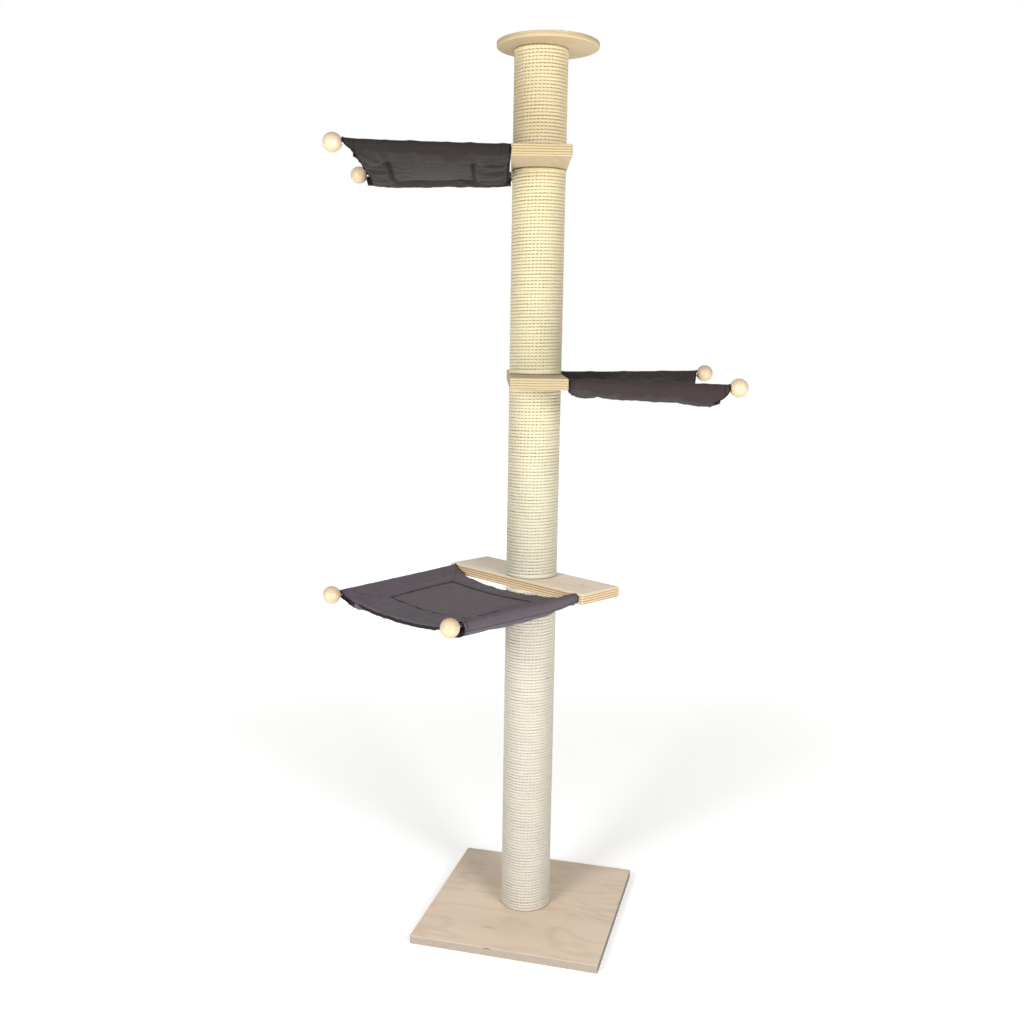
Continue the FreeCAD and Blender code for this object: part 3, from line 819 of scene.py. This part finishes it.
def finish_with(piece, kind, **settings):
    """Adds a modifier and puts its result in the mesh."""
    modifier = piece.modifiers.new(kind.lower(), kind)
    for key, value in settings.items():
        setattr(modifier, key, value)
    graph = bpy.context.evaluated_depsgraph_get()
    mesh = bpy.data.meshes.new_from_object(piece.evaluated_get(graph), preserve_all_data_layers=True,
                                           depsgraph=graph)
    piece.modifiers.clear()
    piece.data = mesh


def split_hammock(piece, number, materials):
    """Cuts the panel's faces from the border's, and gives each its thickness."""
    kinds = np.empty(len(piece.data.polygons), np.int32)
    piece.data.polygons.foreach_get("material_index", kinds)
    made = []
    for kind, (what, thickness) in enumerate((("border", CLOTH_THICKNESS), ("panel", PANEL_THICKNESS))):
        part = piece.copy()
        part.data = piece.data.copy()
        part.name = f"perch_{number}_{what}"
        bpy.context.scene.collection.objects.link(part)
        drop_faces(part.data, kinds != kind)
        part.data.polygons.foreach_set("material_index", np.zeros(len(part.data.polygons), np.int32))
        finish_with(part, "SOLIDIFY", thickness=thickness * MM, offset=0.0, use_even_offset=True,
                    use_quality_normals=True)
        paint(part, materials[what])
        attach(part, f"perch_{number}")
        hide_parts(f"perch_{number}_hammock_{what}")
        made.append(part)
    bpy.data.objects.remove(piece)
    return made


def drop_faces(mesh, unwanted):
    bm = bmesh.new()
    bm.from_mesh(mesh)
    bmesh.ops.delete(bm, geom=[f for f, gone in zip(bm.faces, unwanted) if gone], context="FACES")
    bmesh.ops.delete(bm, geom=[v for v in bm.verts if not v.link_faces], context="VERTS")
    bm.to_mesh(mesh)
    bm.free()


def smooth_path(path, times=2):
    """The path with points added between its own, rounded by Catmull-Rom splines."""
    for _ in range(times):
        padded = np.concatenate([path[:1] * 2 - path[1:2], path, path[-1:] * 2 - path[-2:-1]])
        middle = (9 * (padded[1:-2] + padded[2:-1]) - padded[:-3] - padded[3:]) / 16
        joined = np.empty((2 * len(path) - 1, 3))
        joined[::2], joined[1::2] = path, middle
        path = joined
    return path


def fade_in(count, fade):
    """For each of count points along a path, from 0 at both its ends to 1 inside the share fade."""
    place = np.linspace(0, 1, count)
    return smooth_step(np.minimum(place, 1 - place) / fade)


def sweep(path, radius, sides=8, taper=0.25, fade=0.0):
    """Points, quads and end faces of a round cord along a path, narrower at its ends: over the
    share fade of its length."""
    path = np.asarray(path, float)
    ahead = np.gradient(path, axis=0)
    ahead /= np.linalg.norm(ahead, axis=1, keepdims=True)
    across = np.cross(ahead, (0.0, 0.0, 1.0))
    weak = np.linalg.norm(across, axis=1) < 0.15
    across[weak] = np.cross(ahead[weak], (1.0, 0.0, 0.0))
    across /= np.linalg.norm(across, axis=1, keepdims=True)
    for i in range(1, len(across)):
        if across[i] @ across[i - 1] < 0:
            across[i:] *= -1
    up = np.cross(ahead, across)
    turn = math.tau * np.arange(sides) / sides
    size = np.full(len(path), radius)
    if fade:
        size *= taper + (1 - taper) * fade_in(len(path), fade)
    else:
        size[[0, -1]] *= taper
    ring = (across[:, None] * np.cos(turn)[None, :, None] + up[:, None] * np.sin(turn)[None, :, None])
    points = (path[:, None] + ring * size[:, None, None]).reshape(-1, 3)
    row = np.arange(len(path) - 1)[:, None] * sides
    k = np.arange(sides)
    here, there = row + k, row + (k + 1) % sides
    quads = np.stack([here, here + sides, there + sides, there], -1).reshape(-1, 4)
    ends = [list(range(sides)), [(len(path) - 1) * sides + i for i in range(sides)][::-1]]
    return points, quads, ends


def gather(parts):
    """Several sweeps as one set of points, quads and end faces."""
    points, quads, ends, reached = [], [], [], 0
    for part_points, part_quads, part_ends in parts:
        points.append(part_points)
        quads.append(part_quads + reached)
        ends += [[i + reached for i in end] for end in part_ends]
        reached += len(part_points)
    return np.concatenate(points), np.concatenate(quads), ends


def make_hems(number, grid, share, dark, plain):
    """The rolled hems: a dark and a plain one along each free edge, and a dark one round each
    mouth of the sleeves. The dark ones' colour is painted shade."""
    parts, folds = [], []
    folded = [k for k in range(LAYER + 1) if abs(share[k]) < MOUTH]
    for row in (0, CLOTH_ROWS - 1):
        for stack, radius, drop in zip((parts, folds), FOLD_RADII, FOLD_DROPS[number - 1]):
            path = grid[row, folded].copy()
            path[:, 2] -= drop * fade_in(len(path), END_FADE)
            stack.append(sweep(smooth_path(path), radius, fade=END_FADE))
        back = range(CLOTH_COLUMNS - 1, LOWER + LAYER - folded[0] - 1, -1)
        left = [*range(folded[0], -1, -1), *back]
        right = list(range(folded[-1], LOWER + LAYER - folded[-1] + 1))
        parts += [sweep(smooth_path(grid[row, mouth]), HEM_RADIUS) for mouth in (left, right)]
    made = []
    for name, stack, material in (("hem", parts, dark), ("fold", folds, plain)):
        points, quads, ends = gather(stack)
        piece = make_piece(f"perch_{number}_{name}", points, quads, ends)
        paint(piece, material)
        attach(piece, f"perch_{number}")
        made.append(piece)
    return made


# ---------------------------------------------------------------- the scene

make_camera()
make_studio()

floor = make_floor()

POST_BOTTOM, POST_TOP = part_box("post_1_sisal_winding")[0].z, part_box("post_4_sisal_winding")[1].z
# The rope's colours up the post, from its foot to its top: cream below turning yellow above is painted warm
# light.
ROPE_COLOURS = ((0.0, (0.74, 0.725, 0.69)), (0.10, (0.68, 0.665, 0.63)), (0.40, (0.68, 0.665, 0.62)),
                (0.43, (0.71, 0.70, 0.60)), (0.63, (0.70, 0.665, 0.465)), (0.84, (0.70, 0.63, 0.405)),
                (0.90, (0.70, 0.59, 0.365)), (1.0, (0.70, 0.59, 0.365)))
ROPE_STARTS = (-62.0, 150.0, 95.0, 200.0)  # where each section's rope begins, in degrees
# Marks: the centre and half sizes of each in metres, and its colour
ROPE_FLECK = ((0.0521, -0.0293, 0.607), (0.003, 0.006, 0.0022), (0.12, 0.07, 0.04))
KNOT = ((0.1365, -0.0745, 0.8486), (0.0045, 0.0022, 0.003), (0.20, 0.12, 0.07))
rope_material = sisal("sisal", ROPE_COLOURS, POST_BOTTOM, POST_TOP, (ROPE_FLECK,))
for section, start in zip(SECTIONS, ROPE_STARTS):
    paint(wind_rope(section, start), rope_material)

# Plywood: the face's light and dark colours, and those of the layers on its edge
BASE_PLIES, BOARD_PLIES, TOP_PLIES = 15, 9, 5
BASE_LOOK = ((0.75, 0.62, 0.485), (0.55, 0.42, 0.31), ((0.375, 0.32, 0.268), (0.31, 0.257, 0.208)))
# painted shade: the colour of the base's edge that faces right, darkened as if in shadow
BASE_PAINTED_SHADE = (0.17, 0.155, 0.15)
# The boards from the lowest up, then the top plate: one plywood, given a lighter face on the lowest, which
# is seen from above, and darker, yellower colours higher up: painted light, painted shade and painted warm
# light.
BOARD_LOOKS = (((0.95, 0.84, 0.68), (0.76, 0.63, 0.48), ((0.59, 0.475, 0.31), (0.31, 0.18, 0.085))),
               ((0.62, 0.52, 0.36), (0.52, 0.42, 0.27), ((0.41, 0.345, 0.21), (0.25, 0.17, 0.08))),
               ((0.55, 0.44, 0.285), (0.47, 0.36, 0.22), ((0.42, 0.345, 0.20), (0.25, 0.17, 0.078))))
TOP_LOOK = ((0.60, 0.485, 0.30), (0.52, 0.40, 0.23), ((0.45, 0.36, 0.21), (0.34, 0.245, 0.13)))

low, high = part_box("base_plate")
EDGE_FLECK = ((-0.031, low.y, 0.019), (0.011, 0.003, 0.0015), (0.10, 0.08, 0.06))
FACE_FLECK = ((-0.052, -0.150, high.z), (0.020, 0.0055, 0.003), (0.56, 0.43, 0.27))
paint(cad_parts["base_plate"],
      plywood("birch_base", low.z, high.z, BASE_PLIES, 0.0, *BASE_LOOK, 1.0, 4.3,
              (EDGE_FLECK, FACE_FLECK), BASE_PAINTED_SHADE))
for number, turn, look in zip(PERCHES, BOARD_TURNS, BOARD_LOOKS):
    low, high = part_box(f"perch_{number}_board")
    flecks = (KNOT,) if number == 1 else ()
    paint(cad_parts[f"perch_{number}_board"],
          plywood(f"birch_board_{number}", low.z, high.z, BOARD_PLIES, turn, *look, 0.8, number * 2.1,
                  flecks))
low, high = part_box("top_plate")
paint(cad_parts["top_plate"],
      plywood("birch_top", low.z, high.z, TOP_PLIES, 20.0, *TOP_LOOK, 0.6, 8.8))

ball_wood = turned_wood("ball_wood", (0.57, 0.44, 0.295), (0.51, 0.37, 0.235))
steel = metal("steel", (0.78, 0.78, 0.78), 0.18, 0.34, (300, 300, 300))
zinc = metal("zinc", (0.66, 0.67, 0.68), 0.34, 0.52, (90, 90, 90))
pine_wood, tube_paper = pine("pine"), paper_tube("paper_tube")
for name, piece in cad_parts.items():
    if name.endswith("_ball"):
        paint(piece, ball_wood)
    elif name.endswith("_rod"):
        paint(piece, steel)
    elif name.endswith(("_screws", "_inserts", "_stud")):
        paint(piece, zinc)
    elif name.endswith("_plug"):
        paint(piece, pine_wood)
    elif name.endswith("_tube"):
        paint(piece, tube_paper)

# Each hammock's border and panel, how wide its seams look on each, and how dark its stitching is.
# One canvas, given darker and warmer colours on the higher hammocks, which are seen from below:
# painted shade and painted warm light. The wider seams on hammock 3 are painted shade in their grooves.
CANVAS_LOOKS = (((0.089, 0.073, 0.089), (0.095, 0.077, 0.092), (3.2, 5.0), 0.6),
                ((0.0300, 0.0215, 0.0212), (0.0300, 0.0215, 0.0212), (2.8, 2.8), 0.0),
                ((0.018, 0.0137, 0.0118), (0.0275, 0.0230, 0.0192), (6.0, 9.0), 0.1))
for number, (border_colour, panel_colour, seam_widths, stitched) in zip(PERCHES, CANVAS_LOOKS):
    looks = {}
    # the hem's darker colour is painted shade, for the dark line along each doubled edge and round each
    # mouth
    for what, colour, seam_width in (("border", border_colour, seam_widths[0]),
                                     ("panel", panel_colour, seam_widths[1]),
                                     ("hem", tuple(c * 0.6 for c in border_colour), seam_widths[0])):
        looks[what] = canvas(f"canvas_{what}_{number}", colour, tuple(c * 1.6 for c in colour),
                             seam_width, stitched if what == "border" else 0.0)
    border, panel, hems = make_hammock(number, looks)
